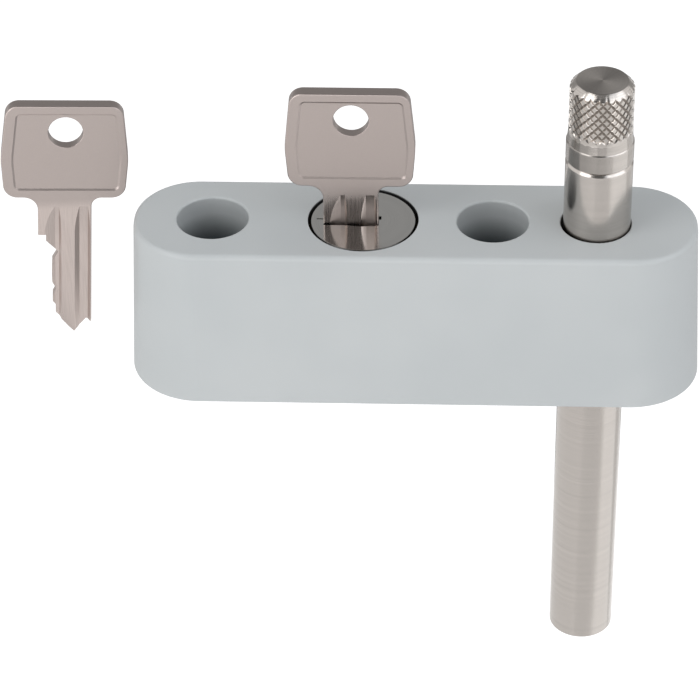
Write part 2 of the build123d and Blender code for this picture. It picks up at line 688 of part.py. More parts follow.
with BuildPart() as key_pattern:
    with BuildSketch(Plane.XZ) as key_outline:
        add(bow.sketch)
        Polygon(
            (blade_spine, bow_widest),
            (-blade_spine, bow_widest),
            (-blade_spine, 0),
            *[
                (blade_spine - share * blade_height, -along * blade_length)
                for along, share in bitting_shares
            ],
            align=None,
        )
        for neck_x, neck_radius in (
            (-blade_spine, neck_left_radius), (blade_spine, neck_right_radius)
        ):
            neck = Vector(neck_x, bow_bottom)
            fillet(
                key_outline.vertices().sort_by_distance(neck)[0], neck_radius
            )
    extrude(amount=key_thickness / 2, both=True)
    bow_edges = key_pattern.edges().filter_by_position(Axis.Z, bow_bottom / 2, bow_top + overrun)
    fillet(
        bow_edges.filter_by(
            lambda edge: abs(abs(edge.center().Y) - key_thickness / 2) < pick_distance
        ),
        key_edge_radius,
    )
    # Sunk panel in each of the bow's faces, and the hole for a key ring through both
    for face_side in (-1, 1):
        for border, depth in ((panel_border, 0), (panel_border + panel_wall_lean, panel_depth)):
            with BuildSketch(Plane.XZ.offset(face_side * (key_thickness / 2 - depth))):
                with Locations((panel_side, 0)):
                    add(bow.sketch)
                offset(amount=-border)
        loft(ruled=True, mode=Mode.SUBTRACT)
    with BuildSketch(Plane.XZ):
        with Locations((ring_hole_side, ring_hole_height)):
            Circle(ring_hole_radius)
    extrude(amount=key_thickness, both=True, mode=Mode.SUBTRACT)
    hole_rims = key_pattern.edges().filter_by(GeomType.CIRCLE)
    fillet(
        hole_rims.filter_by(lambda edge: abs(edge.radius - ring_hole_radius) < pick_distance),
        ring_hole_rim_radius,
    )
    # Two milled grooves in the front face, each ending in the curve that its cutter leaves
    cutter_y = groove_depth - key_thickness / 2 - groove_cutter_radius
    for groove_shape in grooves:
        with BuildSketch() as groove:
            with Locations((0, -key_thickness / 2)):
                add_groove_section(*groove_shape)
        extrude(groove.sketch, amount=-(blade_length + overrun), mode=Mode.SUBTRACT)
        revolve(
            groove.sketch, axis=Axis((0, cutter_y, 0), (1, 0, 0)),
            revolution_arc=groove_cutter_arc, mode=Mode.SUBTRACT,
        )

with BuildPart() as key:
    with Locations((cylinder_x - key_side, 0, key_seat)):
        add(key_pattern.part)

with BuildPart() as spare_key:
    with Locations(Location((spare_key_x, spare_key_y, spare_key_z), spare_key_turns)):
        add(key_pattern.part)

# Locking rod: a ring groove for each end of its travel, and a slot that the guide key runs in
slide_middle = (slide_bottom + slide_top) / 2
with BuildPart() as bolt_rod:
    with BuildSketch(Plane.XY.offset(-rod_reach)):
        with Locations((rod_x, 0)):
            Circle(rod_radius)
    extrude(amount=rod_reach + joint_height)
    chamfer(bolt_rod.edges().group_by(Axis.Z)[0], rod_tip_chamfer)
    chamfer(bolt_rod.edges().group_by(Axis.Z)[-1], joint_chamfer)
    for groove_middle in (slide_middle, slide_middle + rod_travel):
        with BuildSketch(Plane.XY.offset(groove_middle - slide_thickness / 2 - rod_groove_gap)):
            with Locations((rod_x, 0)):
                Circle(rod_radius + overrun)
                Circle(rod_groove_radius, mode=Mode.SUBTRACT)
        extrude(amount=slide_thickness + 2 * rod_groove_gap, mode=Mode.SUBTRACT)
    with BuildSketch(Plane.XY.offset(plate_thickness - guide_fit)):
        with Locations((guide_start_x - guide_slot_extra_depth, 0)):
            Rectangle(
                guide_depth + guide_slot_extra_depth + overrun, guide_width + 2 * guide_slot_gap,
                align=(Align.MIN, Align.CENTER),
            )
    extrude(amount=guide_height + rod_travel + 2 * guide_fit, mode=Mode.SUBTRACT)
    with BuildSketch(Plane.XY.offset(joint_height)):
        with Locations((rod_x, 0)):
            Circle(spigot_radius)
    extrude(amount=spigot_length)

# Knob: plain collar, narrower knurled waist and chamfered top
collar_top = joint_height + knob_collar_height
with BuildPart() as rod_knob:
    with BuildSketch(Plane.XZ):
        with BuildLine():
            Polyline(
                (rod_x, joint_height),
                (rod_x + rod_radius - joint_chamfer, joint_height),
                (rod_x + rod_radius, joint_height + joint_chamfer),
                (rod_x + rod_radius, collar_top),
                (rod_x + knob_waist_radius, collar_top + knob_waist_slope),
                (rod_x + knob_waist_radius, rod_top - knob_top_chamfer),
                (rod_x + knob_waist_radius - knob_top_chamfer, rod_top),
                (rod_x, rod_top),
                close=True,
            )
        make_face()
    revolve(axis=rod_axis)
    with BuildSketch(Plane.XY.offset(joint_height)):
        with Locations((rod_x, 0)):
            Circle(spigot_radius + spigot_gap)
    extrude(amount=spigot_length + spigot_end_gap, mode=Mode.SUBTRACT)

# Guide key: it lies on the base plate, stops the rod from turning and sets both ends of its travel
with BuildPart() as rod_guide_key:
    with BuildSketch(Plane.XY.offset(plate_thickness)):
        with Locations((guide_start_x, 0)):
            Rectangle(guide_length, guide_width, align=(Align.MIN, Align.CENTER))
    extrude(amount=guide_height)

# Two bushes guide the rod, with a rubber ring between them that holds it where it is left
ring_section_radius = (bush_radius - rod_radius - rod_fit) / 2 - friction_ring_gap
bush_bottom = channel_roof + bush_end_gap
bush_top = housing_height - rod_mouth_depth
ring_height = bush_bottom + (bush_top - bush_bottom) * friction_ring_height_share
bushes = []
for low, high in (
    (bush_bottom, ring_height - ring_section_radius - bush_end_gap),
    (ring_height + ring_section_radius + bush_end_gap, bush_top),
):
    with BuildPart() as bush:
        with BuildSketch(Plane.XY.offset(low)):
            with Locations((rod_x, 0)):
                Circle(bush_radius)
                Circle(rod_radius + rod_fit, mode=Mode.SUBTRACT)
        extrude(amount=high - low)
        rims = bush.edges().filter_by(GeomType.CIRCLE)
        chamfer(rims.filter_by(lambda edge: edge.radius > rod_radius + rod_fit), bush_chamfer)
    bushes.append(bush)
rod_bush_lower, rod_bush_upper = bushes

with BuildPart() as rod_friction_ring:
    with Locations((rod_x, 0, ring_height)):
        Torus(bush_radius - friction_ring_gap - ring_section_radius, ring_section_radius)

pieces = {
    "housing": housing,
    "base_plate": base_plate,
    "base_plate_screws": base_plate_screws,
    "cylinder_sleeve": cylinder_sleeve,
    "cylinder_screws": cylinder_screws,
    "rod_bush_lower": rod_bush_lower,
    "rod_bush_upper": rod_bush_upper,
    "rod_friction_ring": rod_friction_ring,
    "rod_guide_key": rod_guide_key,
    "spare_key": spare_key,
    "cylinder_plug": cylinder_plug,
    "plug_clip": plug_clip,
    "drive_cam": drive_cam,
    "drive_pin": drive_pin,
    "cam_screw": cam_screw,
    "key": key,
    "locking_slide": locking_slide,
    "bolt_rod": bolt_rod,
    "rod_knob": rod_knob,
}
for number, (wafer, wafer_spring) in enumerate(zip(wafers, wafer_springs), start=1):
    pieces[f"wafer_{number}"] = wafer
    pieces[f"wafer_spring_{number}"] = wafer_spring

os.makedirs("parts", exist_ok=True)
for label, piece in pieces.items():
    piece.part.label = label
    export_step(piece.part, f"parts/{label}.step")
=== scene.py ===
"""Looks of a key operated rod lock for a sliding patio door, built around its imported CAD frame.

Sizes in the property groups are metres, as in the frame. The camera stands where the photograph
was taken from. The knob is worked out in millimetres and scaled down at its end.
"""

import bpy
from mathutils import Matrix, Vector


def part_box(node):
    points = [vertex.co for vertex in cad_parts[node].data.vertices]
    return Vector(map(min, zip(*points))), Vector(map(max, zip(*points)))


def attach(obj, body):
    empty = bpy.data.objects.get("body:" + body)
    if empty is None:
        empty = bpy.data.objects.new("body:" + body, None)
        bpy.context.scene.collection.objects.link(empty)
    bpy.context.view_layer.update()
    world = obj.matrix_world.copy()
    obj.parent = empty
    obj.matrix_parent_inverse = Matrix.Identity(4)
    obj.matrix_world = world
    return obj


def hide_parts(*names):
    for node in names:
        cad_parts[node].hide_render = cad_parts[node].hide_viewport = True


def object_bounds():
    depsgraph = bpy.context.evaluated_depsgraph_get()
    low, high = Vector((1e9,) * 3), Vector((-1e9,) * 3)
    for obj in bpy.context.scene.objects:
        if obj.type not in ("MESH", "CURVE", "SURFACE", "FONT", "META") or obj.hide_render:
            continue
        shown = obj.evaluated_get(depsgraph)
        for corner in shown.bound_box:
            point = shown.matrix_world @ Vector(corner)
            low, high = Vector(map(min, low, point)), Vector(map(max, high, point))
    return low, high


bl_info = {
    "name": "Sliding Door Rod Lock",
    "version": (1, 0, 0),
    "blender": (4, 5, 0),
    "location": "View3D > Sidebar > Rod Lock",
    "description": "Finishes, knurled knob and studio of a key operated rod lock",
    "category": "Object",
}

from math import cos, hypot, pi, radians, sin
from types import SimpleNamespace

import bmesh
import bpy
from bpy.props import (
    FloatProperty, FloatVectorProperty, IntProperty, PointerProperty,
)
from mathutils import Matrix, Vector

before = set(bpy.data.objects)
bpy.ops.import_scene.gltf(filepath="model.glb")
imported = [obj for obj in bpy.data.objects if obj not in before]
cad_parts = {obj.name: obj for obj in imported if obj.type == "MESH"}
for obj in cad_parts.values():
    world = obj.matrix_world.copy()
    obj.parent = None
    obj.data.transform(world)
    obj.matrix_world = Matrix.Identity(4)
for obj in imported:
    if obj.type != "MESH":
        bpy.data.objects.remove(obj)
CAD_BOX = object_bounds()

MM = 0.001
MM_PER_M = 1000.0
MERGE_GAP = 0.001  # millimetres within which the knob's points and levels count as one
CUT_GAP = 0.0001  # millimetres within which a cut takes a point that is there already
SHARP_ANGLE = radians(28.0)  # the knob's edges stay sharp past this

COLOUR_SPAN = (0.35, 0.65)  # part of a noise's range over which a colour changes
GLOSS_SPAN = (0.3, 0.7)  # part of it over which the roughness changes
OUTWARD_WEIGHT = 1.7  # lathe lines to a step outwards, against one to a step upwards
FINE_WEIGHT, SLOW_WEIGHT = 0.7, 0.3  # shares of the fine and the slow lathe lines

# Roughness at a noise's low and high end, off a finish's own roughness.
COAT_SPREAD = (-0.05, 0.06)
TURNED_SPREAD = (0.06, -0.04)
PLATED_SPREAD = (0.04, -0.04)
GRAIN_SPREAD = (0.1, -0.06)
MOULDED_SPREAD = (-0.05, 0.05)

# A finish's second colour, as a share of its first.
TURNED_SHADE = 0.86
GRAIN_SHADE = 0.82
BOW_SHADE, BLADE_SHADE = 0.98, 0.92
MOULDED_LIGHT = 1.15

WHITE = (1.0, 1.0, 1.0)
COOL_WHITE = (0.9, 0.94, 1.0)

# Places that come from the frame.
KNOB_LOW, KNOB_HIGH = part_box("rod_knob")
ROD_X = (KNOB_LOW.x + KNOB_HIGH.x) / 2
DISC_LOW, DISC_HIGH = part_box("cylinder_plug")
DISC_X = (DISC_LOW.x + DISC_HIGH.x) / 2
TOP_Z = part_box("housing")[1].z
KEY_LOW, KEY_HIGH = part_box("key")
SPARE_LOW, SPARE_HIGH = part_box("spare_key")


def colour_property(name, description, default):
    """A colour setting, as the linear values that a shader takes."""
    return FloatVectorProperty(
        name=name, description=description, subtype="COLOR", size=3, min=0.0, max=1.0,
        default=default,
    )


def length_property(name, description, default):
    """A length setting in metres."""
    return FloatProperty(
        name=name, description=description, subtype="DISTANCE", unit="LENGTH", precision=5,
        min=0.0, default=default,
    )


def place_property(name, description, default):
    """A place along X in metres."""
    return FloatProperty(
        name=name, description=description, subtype="DISTANCE", unit="LENGTH", precision=5,
        default=default,
    )


def angle_property(name, description, default):
    """An angle setting, given here in degrees."""
    return FloatProperty(
        name=name, description=description, subtype="ANGLE", default=radians(default)
    )


def share_property(name, description, default, most=1.0):
    """A plain number setting with no unit."""
    return FloatProperty(name=name, description=description, min=0.0, max=most, default=default)


def scale_property(name, description, default):
    """How fine a pattern is, in cells or lines to the metre."""
    return share_property(name, description, default, 1e5)


class RodLockKnobSizes(bpy.types.PropertyGroup):
    """Sizes of the knurled knob on top of the rod."""

    columns: IntProperty(
        name="Columns", description="Diamonds round the knob in one row", min=8, default=24
    )
    diamond_height: length_property("Diamond height", "Height of one diamond", 1.74 * MM)
    groove_half_width: length_property(
        "Groove half width", "From a groove's middle to the edge of a diamond's flat top", 0.21 * MM
    )
    groove_depth: length_property("Groove depth", "Depth of the knurl's grooves", 0.36 * MM)
    run_out: length_property("Run out", "Height over which the grooves end", 0.7 * MM)
    knurl_bottom: length_property(
        "Knurl bottom", "Height of the knurl's lower end above the joint", 6.3 * MM
    )
    waist_radius: length_property("Waist radius", "Radius over the knurl", 5.68 * MM)
    top_chamfer: length_property("Top chamfer", "Chamfer round the top", 1.15 * MM)
    collar_height: length_property("Collar height", "Height of the plain collar", 4.1 * MM)
    collar_slope: length_property("Collar slope", "Height of the slope above the collar", 1.7 * MM)
    joint_chamfer: length_property("Joint chamfer", "Chamfer at the joint with the rod", 0.43 * MM)
    bore_radius: length_property("Bore radius", "Bore for the rod's spigot", 2.52 * MM)
    bore_depth: length_property("Bore depth", "Depth of that bore", 8.4 * MM)
    collar_step: length_property("Collar step", "Chamfer at the collar's top", 0.17 * MM)
    edge_rounding: length_property("Edge rounding", "Rounding of the turned edges", 0.07 * MM)


class RodLockPaint(bpy.types.PropertyGroup):
    """Look of the powder coated housing."""

    colour: colour_property("Colour", "Colour of the powder coat", (0.5, 0.523, 0.529))
    shade: colour_property("Shade", "Slightly darker patches of it", (0.475, 0.5, 0.508))
    roughness: share_property("Roughness", "Roughness of the coat", 0.42)
    grain_scale: scale_property("Grain scale", "Cells of the coat's grain to the metre", 1500.0)
    grain_height: length_property("Grain height", "Height of that grain", 0.012 * MM)
    grain_strength: share_property("Grain strength", "How plainly that grain shows", 0.5)
    cloud_scale: scale_property("Cloud scale", "Cells of its soft clouds to the metre", 45.0)
    # Painted shade: the bore walls below their rims, uncoated metal painted near black as shade,
    # and the fixing wells, painted darker with depth as shade.
    bare_and_shade_colour: colour_property("Bare", "Uncoated metal inside the bores", (0.035, 0.036, 0.037))
    well_shade_colour: colour_property("Well", "Thin coat low in the fixing wells", (0.065, 0.08, 0.09))
    well_radius: length_property("Well radius", "Radius of the fixing wells", 6.4 * MM)
    # Depths between which the painted shade in the fixing wells deepens.
    well_shade_start: length_property("Full coat", "Depth to which the wells take the full coat", 3.4 * MM)
    well_shade_end: length_property("Thin coat", "Depth from which their coat is thin", 9.8 * MM)
    left_well_x: place_property("Left well", "Place of the left well along X", -36.15 * MM)
    right_well_x: place_property("Right well", "Place of the right well along X", 13.85 * MM)
    # The painted shade in the cylinder bore and the rod's mouth starts just below the rim and is
    # full at these depths.
    cylinder_bore: length_property("Cylinder bore", "Radius of the cylinder's bore", 9.9 * MM)
    cylinder_edge: length_property("Cylinder edge", "Depth at which its coat has ended", 0.3 * MM)
    rod_mouth: length_property("Rod mouth", "Radius of the mouth round the rod", 6.45 * MM)
    rod_edge: length_property("Rod edge", "Depth at which its coat has ended", 0.6 * MM)
    wall_reach: length_property("Wall reach", "How far into a bore's wall it counts", 0.05 * MM)


class RodLockMetals(bpy.types.PropertyGroup):
    """Looks of the bare and plated metals."""

    rod_colour: colour_property("Rod", "Turned stainless steel", (0.56, 0.52, 0.485))
    rod_roughness: share_property("Rod roughness", "Roughness of the turned steel", 0.2)
    line_height: length_property("Line height", "Height of the fine turned lines", 0.003 * MM)
    disc_colour: colour_property("Disc", "Polished nickel", (0.6, 0.59, 0.57))
    disc_roughness: share_property("Disc roughness", "Roughness of the polished disc", 0.13)
    disc_height: length_property("Disc lines", "Height of its turned lines", 0.0004 * MM)
    # Painted shade: a thin dark ring round the disc's rim, standing for the shade in the gap round
    # it.
    disc_rim_shade_width: length_property("Disc edge", "Width of the disc's dull edge", 0.12 * MM)
    rim_shade_share: share_property("Edge share", "Brightness of that edge", 0.2)
    # Painted shade down in the knurl's grooves.
    groove_shade_share: share_property("Groove share", "Brightness down in the knurl", 0.85)
    bow_colour: colour_property("Bow", "Nickel plate of the keys' bows", (0.435, 0.378, 0.356))
    blade_colour: colour_property("Blade", "Plate of their milled blades", (0.53, 0.46, 0.43))
    plate_height: length_property("Plate height", "Height of the plate's grain", 0.0005 * MM)
    bow_roughness: share_property("Bow roughness", "Roughness of the keys' tumbled bows", 0.36)
    bow_scale: scale_property("Bow scale", "Cells of the bows' grain to the metre", 5200.0)
    blade_roughness: share_property("Blade roughness", "Roughness of their milled blades", 0.26)
    blade_scale: scale_property("Blade scale", "Streaks of the blades to the metre", 6000.0)
    streak_stretch: share_property("Streak stretch", "Width of a streak to its length", 0.012)
    blade_blend: length_property("Blade blend", "Height over which blade turns to bow", 2.0 * MM)
    floor_roughness: share_property("Floor roughness", "Roughness of their grooves' floors", 0.48)
    floor_depth: length_property("Floor depth", "Depth of the floors of their grooves", 0.45 * MM)
    bow_height: length_property("Bow height", "From a key's top down to its blade", 20.0 * MM)
    # Painted highlight: bright fans on the knob's top, with the colour between them painted darker.
    painted_fan_turn: angle_property("Fan turn", "Turn of the bright fans on the knob's top", 140.0)
    painted_fan_share: share_property("Fan share", "Brightness between those fans", 0.6)
    zinc_colour: colour_property("Zinc", "Zinc plate of the hidden steel", (0.62, 0.63, 0.64))
    brass_colour: colour_property("Brass", "Brass of the wafers", (0.66, 0.48, 0.22))
    sleeve_colour: colour_property("Sleeve", "Oiled brass of the sleeve", (0.09, 0.07, 0.045))
    spring_colour: colour_property("Spring", "Spring steel", (0.5, 0.5, 0.5))
    plastic_colour: colour_property("Plastic", "Plastic of the bushes", (0.02, 0.02, 0.022))
    rubber_colour: colour_property("Rubber", "Rubber of the ring", (0.012, 0.012, 0.012))


class RodLockStage(bpy.types.PropertyGroup):
    """Camera, floor and lamps."""

    camera_place: FloatVectorProperty(
        name="Camera place", description="Where the photograph was taken from",
        subtype="TRANSLATION", unit="LENGTH", size=3, default=(0.01028, -0.47128, 0.35899),
    )
    azimuth: angle_property("Azimuth", "Turn of the view about the upright", 2.70)
    elevation: angle_property("Elevation", "How steeply the view looks down", 37.11)
    roll: angle_property("Roll", "Turn of the view about its own line", -0.83)
    lens: FloatProperty(
        name="Lens", description="Focal length", subtype="DISTANCE_CAMERA", min=1.0, default=165.57
    )
    floor_drop: length_property("Floor drop", "From the rod's tip down to the floor", 0.35)
    floor_reach: length_property("Floor reach", "From the floor's middle to its sides", 4.0)
    floor_colour: colour_property("Floor", "Colour of the floor", (0.8, 0.8, 0.8))
    floor_roughness: share_property("Floor roughness", "Roughness of the floor", 0.9)
    floor_gloss: share_property("Floor gloss", "Gloss of the floor", 0.1)
    floor_glow: share_property("Floor glow", "Light that makes up its white in the picture", 0.5)
    sky_level: share_property("Sky level", "Light of the sky on the object", 0.64, 10.0)
    back_card: share_property("Back card", "Brightness of the grey card behind", 0.4, 10.0)
    dark_card: share_property("Dark card", "Brightness of the card by the camera", 0.12, 10.0)
    front_card: share_property("Front card", "Brightness of the card low in front", 0.85, 10.0)
    side_card: share_property("Side card", "Brightness of the card low at the left", 0.93, 10.0)
    right_card: share_property("Right card", "Brightness of the card at the right", 0.8, 10.0)
    ceiling_card: share_property("Ceiling card", "Brightness of the card overhead", 0.25, 10.0)


class RodLockSettings(bpy.types.PropertyGroup):
    """All settings of the rod lock."""

    knob: PointerProperty(type=RodLockKnobSizes)
    paint: PointerProperty(type=RodLockPaint)
    metals: PointerProperty(type=RodLockMetals)
    stage: PointerProperty(type=RodLockStage)


def feed(tree, socket, value):
    """Links an input to a socket, or sets it to a number."""
    if isinstance(value, bpy.types.NodeSocket):
        tree.links.new(value, socket)
    else:
        socket.default_value = value


def math_node(tree, operation, *values):
    """A Math node on sockets or numbers; returns its output socket."""
    made = tree.nodes.new("ShaderNodeMath")
    made.operation = operation
    for socket, value in zip(made.inputs, values):
        feed(tree, socket, value)
    return made.outputs[0]


def map_range(tree, value, low, high, to_low, to_high):
    """A clamped Map Range of sockets or numbers; returns its output socket."""
    made = tree.nodes.new("ShaderNodeMapRange")
    for name, number in (
        ("Value", value), ("From Min", low), ("From Max", high),
        ("To Min", to_low), ("To Max", to_high),
    ):
        feed(tree, made.inputs[name], number)
    return made.outputs["Result"]


def mix_numbers(tree, share, first, second):
    """A mix of two numbers by a mask socket; returns its output socket."""
    made = tree.nodes.new("ShaderNodeMix")
    for name, value in (("Factor", share), ("A", first), ("B", second)):
        feed(tree, made.inputs[name], value)
    return made.outputs["Result"]


def mix_colours(tree, share, first, second):
    """A colour mix by a mask socket; returns its output socket."""
    made = tree.nodes.new("ShaderNodeMix")
    made.data_type = "RGBA"
    tree.links.new(share, made.inputs["Factor"])
    for name, value in (("A", first), ("B", second)):
        socket = next(s for s in made.inputs if s.name == name and s.type == "RGBA")
        feed(tree, socket, value if isinstance(value, bpy.types.NodeSocket) else (*value, 1.0))
    return next(s for s in made.outputs if s.type == "RGBA")


def follow_colour(tree, noise, dark, light):
    """A colour that goes from dark to light with a noise."""
    return mix_colours(tree, map_range(tree, noise, *COLOUR_SPAN, 0.0, 1.0), dark, light)


def follow_roughness(tree, noise, roughness, spread, span=GLOSS_SPAN):
    """A roughness that goes through its spread with a noise."""
    at_low, at_high = spread
    return map_range(tree, noise, *span, roughness + at_low, roughness + at_high)


def radius_and_height(tree, vector):
    """Distance from the upright axis and height along it, as two sockets."""
    split = tree.nodes.new("ShaderNodeSeparateXYZ")
    tree.links.new(vector, split.inputs[0])
    flat = tree.nodes.new("ShaderNodeCombineXYZ")
    for axis in ("X", "Y"):
        tree.links.new(split.outputs[axis], flat.inputs[axis])
    length = tree.nodes.new("ShaderNodeVectorMath")
    length.operation = "LENGTH"
    tree.links.new(flat.outputs[0], length.inputs[0])
    return length.outputs["Value"], split.outputs["Z"]


def new_group(name, numbers):
    """An empty node group with a vector input, the named number inputs and a Mask output."""
    tree = bpy.data.node_groups.new(name, "ShaderNodeTree")
    tree.interface.new_socket(name="Vector", in_out="INPUT", socket_type="NodeSocketVector")
    for number, default in numbers.items():
        socket = tree.interface.new_socket(
            name=number, in_out="INPUT", socket_type="NodeSocketFloat"
        )
        socket.default_value = default
    tree.interface.new_socket(name="Mask", in_out="OUTPUT", socket_type="NodeSocketFloat")
    return tree, tree.nodes.new("NodeGroupInput"), tree.nodes.new("NodeGroupOutput")


def turned_lines_group():
    """Fine lines round the upright axis that a lathe leaves, on sides, slopes and end faces."""
    name = "turned_lines"
    if name in bpy.data.node_groups:
        return bpy.data.node_groups[name]
    tree, group_in, group_out = new_group(name, {"Lines": 9000.0, "Slow Lines": 900.0})
    radius, height = radius_and_height(tree, group_in.outputs["Vector"])
    along = math_node(tree, "ADD", math_node(tree, "MULTIPLY", radius, OUTWARD_WEIGHT), height)
    noises = []
    for scale in ("Lines", "Slow Lines"):
        noise = tree.nodes.new("ShaderNodeTexNoise")
        noise.noise_dimensions = "1D"
        noise.inputs["Detail"].default_value = 2.0
        noise.inputs["Scale"].default_value = 1.0
        tree.links.new(
            math_node(tree, "MULTIPLY", along, group_in.outputs[scale]), noise.inputs["W"]
        )
        noises.append(noise.outputs[0])
    fine, slow = noises
    both = math_node(
        tree, "ADD", math_node(tree, "MULTIPLY", fine, FINE_WEIGHT),
        math_node(tree, "MULTIPLY", slow, SLOW_WEIGHT),
    )
    tree.links.new(both, group_out.inputs["Mask"])
    return tree


def brushed_lines_group():
    """Fine straight streaks along Z."""
    name = "brushed_lines"
    if name in bpy.data.node_groups:
        return bpy.data.node_groups[name]
    tree, group_in, group_out = new_group(name, {"Scale": 6000.0, "Stretch": 0.02})
    stretch = tree.nodes.new("ShaderNodeCombineXYZ")
    stretch.inputs["X"].default_value = 1.0
    stretch.inputs["Y"].default_value = 1.0
    tree.links.new(group_in.outputs["Stretch"], stretch.inputs["Z"])
    scaled = tree.nodes.new("ShaderNodeVectorMath")
    scaled.operation = "MULTIPLY"
    tree.links.new(group_in.outputs["Vector"], scaled.inputs[0])
    tree.links.new(stretch.outputs[0], scaled.inputs[1])
    noise = tree.nodes.new("ShaderNodeTexNoise")
    noise.inputs["Detail"].default_value = 3.0
    tree.links.new(scaled.outputs[0], noise.inputs["Vector"])
    tree.links.new(group_in.outputs["Scale"], noise.inputs["Scale"])
    tree.links.new(noise.outputs[0], group_out.inputs["Mask"])
    return tree


def speckle_group():
    """Cloudy grain, for powder coat, cast faces and tumbled edges."""
    name = "speckle"
    if name in bpy.data.node_groups:
        return bpy.data.node_groups[name]
    tree, group_in, group_out = new_group(name, {"Scale": 1000.0, "Detail": 2.0})
    noise = tree.nodes.new("ShaderNodeTexNoise")
    tree.links.new(group_in.outputs["Vector"], noise.inputs["Vector"])
    tree.links.new(group_in.outputs["Scale"], noise.inputs["Scale"])
    tree.links.new(group_in.outputs["Detail"], noise.inputs["Detail"])
    tree.links.new(noise.outputs[0], group_out.inputs["Mask"])
    return tree


def bore_group():
    """1 inside an upright bore and below a height; used for the painted shade in bores, wells, the
    knob's grooves and round the disc, and to find the knob's top face.
    """
    name = "inside_bore"
    if name in bpy.data.node_groups:
        return bpy.data.node_groups[name]
    tree, group_in, group_out = new_group(
        name, {"Radius": 0.01, "High": TOP_Z, "Low": TOP_Z - 0.5 * MM}
    )
    radius, height = radius_and_height(tree, group_in.outputs["Vector"])
    inside = math_node(tree, "LESS_THAN", radius, group_in.outputs["Radius"])
    deep = map_range(tree, height, group_in.outputs["Low"], group_in.outputs["High"], 1.0, 0.0)
    tree.links.new(math_node(tree, "MULTIPLY", inside, deep), group_out.inputs["Mask"])
    return tree


def fans_group():
    """0 along one line through the axis and 1 across it, the mask of the painted highlight fans
    that light makes on a turned end face.
    """
    name = "turned_fans"
    if name in bpy.data.node_groups:
        return bpy.data.node_groups[name]
    tree, group_in, group_out = new_group(name, {"Turn": 0.0})
    split = tree.nodes.new("ShaderNodeSeparateXYZ")
    tree.links.new(group_in.outputs["Vector"], split.inputs[0])
    angle = math_node(
        tree, "SUBTRACT", math_node(tree, "ARCTAN2", split.outputs["Y"], split.outputs["X"]),
        group_in.outputs["Turn"],
    )
    wave = math_node(tree, "COSINE", math_node(tree, "MULTIPLY", angle, 2.0))
    tree.links.new(map_range(tree, wave, -1.0, 1.0, 1.0, 0.0), group_out.inputs["Mask"])
    return tree


def place_group(tree, group, vector, **numbers):
    """A node group placed in a material; returns its Mask socket."""
    made = tree.nodes.new("ShaderNodeGroup")
    made.node_tree = group
    tree.links.new(vector, made.inputs["Vector"])
    for name, value in numbers.items():
        made.inputs[name.replace("_", " ")].default_value = value
    return made.outputs["Mask"]


def new_material(name, metallic=0.0):
    """A material with its tree, shader and the object's own coordinates."""
    material = bpy.data.materials.new(name)
    material.use_nodes = True
    tree = material.node_tree
    shader = tree.nodes["Principled BSDF"]
    shader.inputs["Metallic"].default_value = metallic
    coordinates = tree.nodes.new("ShaderNodeTexCoord").outputs["Object"]
    return material, tree, shader, coordinates


def centred(tree, coordinates, x):
    """The object's coordinates moved so that an upright axis at x becomes their zero."""
    mapping = tree.nodes.new("ShaderNodeMapping")
    mapping.inputs["Location"].default_value = (-x, 0.0, 0.0)
    tree.links.new(coordinates, mapping.inputs["Vector"])
    return mapping.outputs[0]


def add_bump(tree, shader, height, depth, strength=1.0):
    """A bump of that depth from a height mask."""
    bump = tree.nodes.new("ShaderNodeBump")
    bump.inputs["Strength"].default_value = strength
    bump.inputs["Distance"].default_value = depth
    tree.links.new(height, bump.inputs["Height"])
    tree.links.new(bump.outputs["Normal"], shader.inputs["Normal"])


def powder_coat(settings):
    """Satin powder coat: fine orange peel, soft cloudy tone, and painted shade down in the bores
    and fixing wells.
    """
    material, tree, shader, coordinates = new_material("satin_powder_coat")
    grain = place_group(
        tree, speckle_group(), coordinates, Scale=settings.grain_scale, Detail=3.0
    )
    cloud = place_group(
        tree, speckle_group(), coordinates, Scale=settings.cloud_scale, Detail=2.0
    )
    colour = follow_colour(tree, cloud, settings.colour, settings.shade)
    well = (settings.well_radius, settings.well_shade_start, settings.well_shade_end, settings.well_shade_colour)
    reach, bare = settings.wall_reach, settings.bare_and_shade_colour
    # Painted shade: down the wells and on the bore walls below the rims the coat's colour gives way
    # to a dark colour.
    for x, (radius, start, end, painted_shade_colour) in (
        (settings.left_well_x, well),
        (settings.right_well_x, well),
        (DISC_X, (settings.cylinder_bore, reach, settings.cylinder_edge, bare)),
        (ROD_X, (settings.rod_mouth, reach, settings.rod_edge, bare)),
    ):
        inside = place_group(
            tree, bore_group(), centred(tree, coordinates, x), Radius=radius + reach,
            High=TOP_Z - start, Low=TOP_Z - end,
        )
        colour = mix_colours(tree, inside, colour, painted_shade_colour)
    tree.links.new(colour, shader.inputs["Base Color"])
    tree.links.new(
        follow_roughness(tree, grain, settings.roughness, COAT_SPREAD),
        shader.inputs["Roughness"],
    )
    add_bump(tree, shader, grain, settings.grain_height, settings.grain_strength)
    return material


def turned_steel(name, colour, roughness, axis_x, line_height, lines=9000.0, slow_lines=900.0):
    """Bright metal with lathe lines round an upright axis; also returns its centred coordinates."""
    material, tree, shader, coordinates = new_material(name, metallic=1.0)
    around = centred(tree, coordinates, axis_x)
    mask = place_group(tree, turned_lines_group(), around, Lines=lines, Slow_Lines=slow_lines)
    dark = [channel * TURNED_SHADE for channel in colour]
    tree.links.new(follow_colour(tree, mask, dark, colour), shader.inputs["Base Color"])
    tree.links.new(
        follow_roughness(tree, mask, roughness, TURNED_SPREAD), shader.inputs["Roughness"]
    )
    add_bump(tree, shader, mask, line_height)
    return material, around


